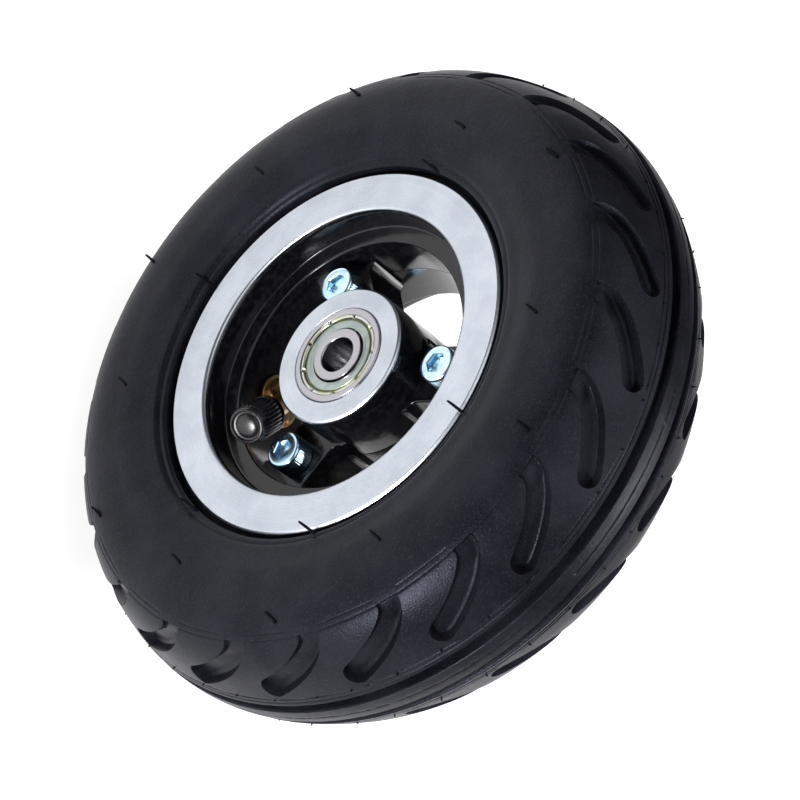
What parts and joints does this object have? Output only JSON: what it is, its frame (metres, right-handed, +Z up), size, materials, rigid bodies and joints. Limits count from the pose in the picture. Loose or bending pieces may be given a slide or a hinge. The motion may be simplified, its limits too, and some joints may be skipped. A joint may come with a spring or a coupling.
{
  "type": "pneumatic scooter wheel",
  "caption": "Small inflatable wheel: air tyre and tube on a bolted split aluminium rim that turns on two shielded ball bearings, with a bent valve.",
  "frame": {"origin": "the wheel's centre, on the axle line midway between the two rim faces", "axes": "+Y along the axle, away from the face that has the valve and screw heads; +Z up"},
  "size_m": [0.15, 0.0454, 0.15],
  "materials": {
    "tyre": "matte charcoal rubber with a faint sheen",
    "tube": "matte",
    "rim": "machined bright on lip and hub face, gloss black paint inside",
    "zinc_steel": "bright blue-white zinc plate",
    "spacer": "turned",
    "valve_rubber": "matte",
    "brass": "satin, slightly tarnished",
    "pin_steel": "drawn wire",
    "cap_plastic": "satin moulded plastic",
    "bearing_steel": "ground and polished",
    "shield": "pressed sheet, pale passivated zinc",
    "cage_steel": "pressed sheet"
  },
  "bodies": {
    "axle_rings": {"front_bearing_inner_ring": "bearing_steel", "rear_bearing_inner_ring": "bearing_steel", "bearing_spacer": "spacer"},
    "wheel": {"tyre": "tyre", "inner_tube": "tube", "rim_front_half": "rim", "rim_rear_half": "rim", "rim_screws": "zinc_steel", "rim_nuts": "zinc_steel", "front_bearing_outer_ring": "bearing_steel", "rear_bearing_outer_ring": "bearing_steel", "front_bearing_outside_shield": "shield", "front_bearing_inside_shield": "shield", "rear_bearing_outside_shield": "shield", "rear_bearing_inside_shield": "shield", "valve_base": "valve_rubber", "valve_stem": "brass", "valve_washer": "brass", "valve_nut": "brass", "valve_core_body": "brass", "valve_core_spring": "pin_steel"},
    "front_ball_set": {"front_bearing_cage": "cage_steel", "front_bearing_balls": "bearing_steel"},
    "rear_ball_set": {"rear_bearing_cage": "cage_steel", "rear_bearing_balls": "bearing_steel"},
    "core_pin": {"valve_core_pin": "pin_steel"},
    "cap_seal": {"valve_cap_seal": "valve_rubber"},
    "cap": {"valve_cap": "cap_plastic"}
  },
  "joints": [
    {"name": "wheel_spin", "type": "hinge", "parent": "axle_rings", "child": "wheel", "pos_m": [0, 0, 0], "axis": [0, 1, 0], "continuous": true},
    {"name": "front_ball_set_spin", "type": "hinge", "parent": "axle_rings", "child": "front_ball_set", "pos_m": [0, -0.01225, 0], "axis": [0, 1, 0], "continuous": true},
    {"name": "rear_ball_set_spin", "type": "hinge", "parent": "axle_rings", "child": "rear_ball_set", "pos_m": [0, 0.01225, 0], "axis": [0, 1, 0], "continuous": true},
    {"name": "core_pin_press", "type": "slide", "parent": "wheel", "child": "core_pin", "axis": [-0.6617, 0.7315, -0.1645], "range_m": [0, 0.0012], "stiffness_N_per_m": 400, "springref_m": -0.004, "deforming": ["valve_core_spring"]},
    {"name": "cap_turn_travel", "type": "slide", "parent": "wheel", "child": "cap_seal", "axis": [0.6617, -0.7315, 0.1645], "range_m": [0, 0.00873]},
    {"name": "cap_turn", "type": "hinge", "parent": "cap_seal", "child": "cap", "pos_m": [0.01113, -0.01463, -0.02072], "axis": [0.6617, -0.7315, 0.1645], "range_deg": [0, 3960]}
  ],
  "couplings": [
    {"joint": "front_ball_set_spin", "follows": "wheel_spin", "ratio": 0.6323},
    {"joint": "rear_ball_set_spin", "follows": "wheel_spin", "ratio": 0.6323},
    {"joint": "cap_turn", "follows": "cap_turn_travel", "rad_per_m": 7913.3}
  ]
}
